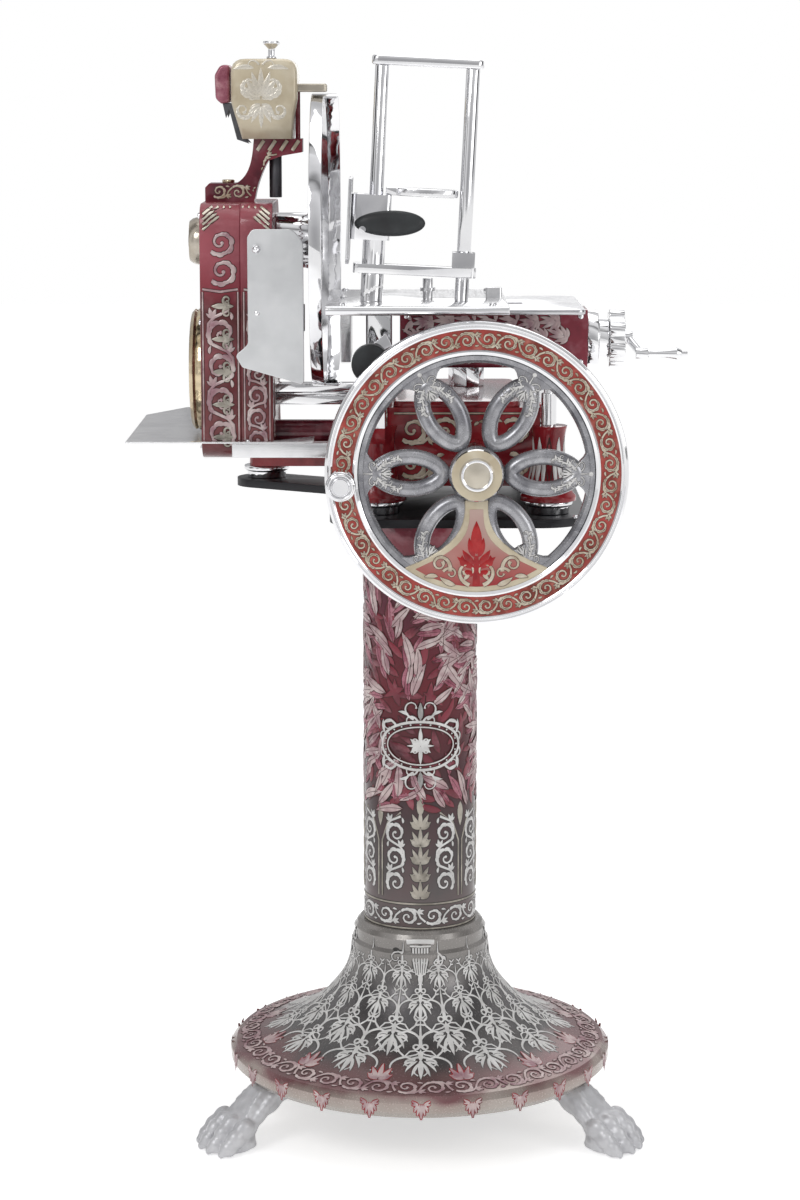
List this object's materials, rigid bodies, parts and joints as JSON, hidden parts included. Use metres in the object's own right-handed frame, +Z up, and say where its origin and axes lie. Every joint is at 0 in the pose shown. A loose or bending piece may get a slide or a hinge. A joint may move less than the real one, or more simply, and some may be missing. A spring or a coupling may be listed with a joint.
{
  "type": "hand crank meat slicer",
  "caption": "Hand cranked meat slicer with a round blade, spoked flywheel, sliding table, clamp, sharpener and tray, standing on a round cast pedestal with paw feet.",
  "frame": {"origin": "on the floor under the column's axis, which is the centre of the paw feet", "axes": "+X to the operator's right, +Y away from the operator, who stands at the flywheel, +Z up"},
  "size_m": [0.6673, 0.6126, 1.33],
  "materials": {
    "red_enamel": "glossy stove enamel, crimson",
    "ornate_enamel": "glossy enamel, pink maroon with pale scrolls",
    "black_enamel": "glossy black enamel",
    "cream_enamel": "cream pearl enamel, embossed",
    "cast_silver": "satin silver paint on iron",
    "chrome": "polished chrome",
    "steel": "ground steel",
    "aluminium": "satin aluminium",
    "dark_iron": "oiled dark iron",
    "brass": "polished brass",
    "black_plastic": "black moulded plastic",
    "stone": "bonded abrasive, matte"
  },
  "bodies": {
    "frame": {"paw_feet": "cast_silver", "pedestal_base": "ornate_enamel", "pedestal_column": "ornate_enamel", "column_capital": "red_enamel", "pedestal_top_plate": "black_enamel", "frame_bolts": "chrome", "machine_feet": "chrome", "base_casting": "red_enamel", "bed_plate": "red_enamel", "bed_crossbar": "chrome", "case_support_bar": "chrome", "guide_rods": "chrome", "guide_rod_posts": "chrome", "drive_shaft_housing": "red_enamel", "drive_chain": "dark_iron", "chain_case": "ornate_enamel", "chain_case_cover": "ornate_enamel", "round_covers": "chrome", "oil_cap": "chrome", "spindle_housing": "chrome", "blade_guard": "chrome", "receiving_tray": "aluminium", "deflector_hinge": "chrome", "sharpener_arm": "red_enamel", "sharpener_hood": "cream_enamel", "thickness_dial_bracket": "chrome"},
    "flywheel": {"flywheel": "red_enamel", "flywheel_hub_cap": "cream_enamel", "flywheel_axle": "steel", "crown_gear": "dark_iron", "handle_pin": "chrome"},
    "flywheel_handle": {"flywheel_handle": "chrome"},
    "cross_shaft": {"cross_shaft": "steel", "shaft_pinions": "dark_iron"},
    "idler": {"idler_gear": "dark_iron"},
    "blade": {"blade_spindle": "steel", "blade": "steel", "blade_clamp_plate": "chrome"},
    "carriage": {"carriage_beam": "red_enamel", "carriage_slippers": "chrome", "lower_table_plate": "steel", "screw_bearing": "chrome"},
    "meat_table": {"upper_table_plate": "aluminium", "front_rail": "chrome", "table_nut": "brass", "clamp_posts": "chrome", "post_top_bar": "chrome"},
    "feed_screw": {"feed_screw": "steel", "feed_handwheel": "chrome", "feed_crank_arm": "chrome"},
    "feed_grip": {"feed_grip": "chrome"},
    "clamp": {"clamp_bridge": "chrome", "toothed_plate": "steel", "press_handle": "black_plastic"},
    "clamp_lever": {"clamp_lever": "black_plastic"},
    "thickness_dial": {"thickness_dial": "black_plastic"},
    "deflector": {"deflector_plate": "aluminium"},
    "sharpener_knob": {"sharpener_knob": "chrome"},
    "grinding_stones": {"grinding_stones": "stone"},
    "push_rod": {"sharpener_push_rod": "chrome"}
  },
  "joints": [
    {"name": "flywheel_spin", "type": "hinge", "parent": "frame", "child": "flywheel", "pos_m": [0.0625, -0.218, 0.8415], "axis": [0, 1, 0], "continuous": true},
    {"name": "handle_spin", "type": "hinge", "parent": "flywheel", "child": "flywheel_handle", "pos_m": [-0.09141, -0.27, 0.83613], "axis": [0, 1, 0], "continuous": true},
    {"name": "cross_shaft_spin", "type": "hinge", "parent": "frame", "child": "cross_shaft", "pos_m": [0, 0.04, 0.8605], "axis": [1, 0, 0], "continuous": true},
    {"name": "idler_spin", "type": "hinge", "parent": "frame", "child": "idler", "pos_m": [-0.2, 0.04, 0.9269], "axis": [1, 0, 0], "continuous": true},
    {"name": "blade_spin", "type": "hinge", "parent": "frame", "child": "blade", "pos_m": [-0.12, 0.04, 1.092], "axis": [1, 0, 0], "continuous": true},
    {"name": "carriage_slide", "type": "slide", "parent": "frame", "child": "carriage", "axis": [0, 1, 0], "range_m": [-0.12, 0.09]},
    {"name": "table_feed", "type": "slide", "parent": "carriage", "child": "meat_table", "axis": [1, 0, 0], "range_m": [0, 0.085]},
    {"name": "feed_screw_turn", "type": "hinge", "parent": "carriage", "child": "feed_screw", "pos_m": [0.1, -0.04, 0.981], "axis": [1, 0, 0], "range_deg": [-10, 6130]},
    {"name": "feed_grip_spin", "type": "hinge", "parent": "feed_screw", "child": "feed_grip", "pos_m": [0.28, -0.074, 0.965], "axis": [1, 0, 0], "continuous": true},
    {"name": "clamp_lift", "type": "slide", "parent": "meat_table", "child": "clamp", "axis": [0.0489, 0, 0.9988], "range_m": [0, 0.135]},
    {"name": "clamp_lever_turn", "type": "hinge", "parent": "clamp", "child": "clamp_lever", "pos_m": [-0.06838, -0.135, 1.11408], "axis": [0, -1, 0], "range_deg": [0, 20]},
    {"name": "dial_turn", "type": "hinge", "parent": "frame", "child": "thickness_dial", "pos_m": [-0.0585, -0.158, 0.961], "axis": [0, -1, 0], "range_deg": [0, 270]},
    {"name": "deflector_swing", "type": "hinge", "parent": "frame", "child": "deflector", "pos_m": [-0.144, -0.0785, 1.008], "axis": [0, 0, 1], "range_deg": [0, 75]},
    {"name": "sharpener_knob_lift", "type": "slide", "parent": "frame", "child": "sharpener_knob", "axis": [0, 0, 1], "range_m": [0, 0.012]},
    {"name": "stones_spin", "type": "hinge", "parent": "frame", "child": "grinding_stones", "pos_m": [-0.203, 0.032, 1.235], "axis": [0, 1, 0], "continuous": true},
    {"name": "push_rod_press", "type": "slide", "parent": "frame", "child": "push_rod", "axis": [0, 0, 1], "range_m": [0, 0.008], "stiffness_N_per_m": 200}
  ],
  "couplings": [
    {"joint": "cross_shaft_spin", "follows": "flywheel_spin", "ratio": -3},
    {"joint": "idler_spin", "follows": "flywheel_spin", "ratio": 1.125},
    {"joint": "blade_spin", "follows": "flywheel_spin", "ratio": 3.375},
    {"joint": "feed_screw_turn", "follows": "table_feed", "rad_per_m": 1256.6}
  ]
}
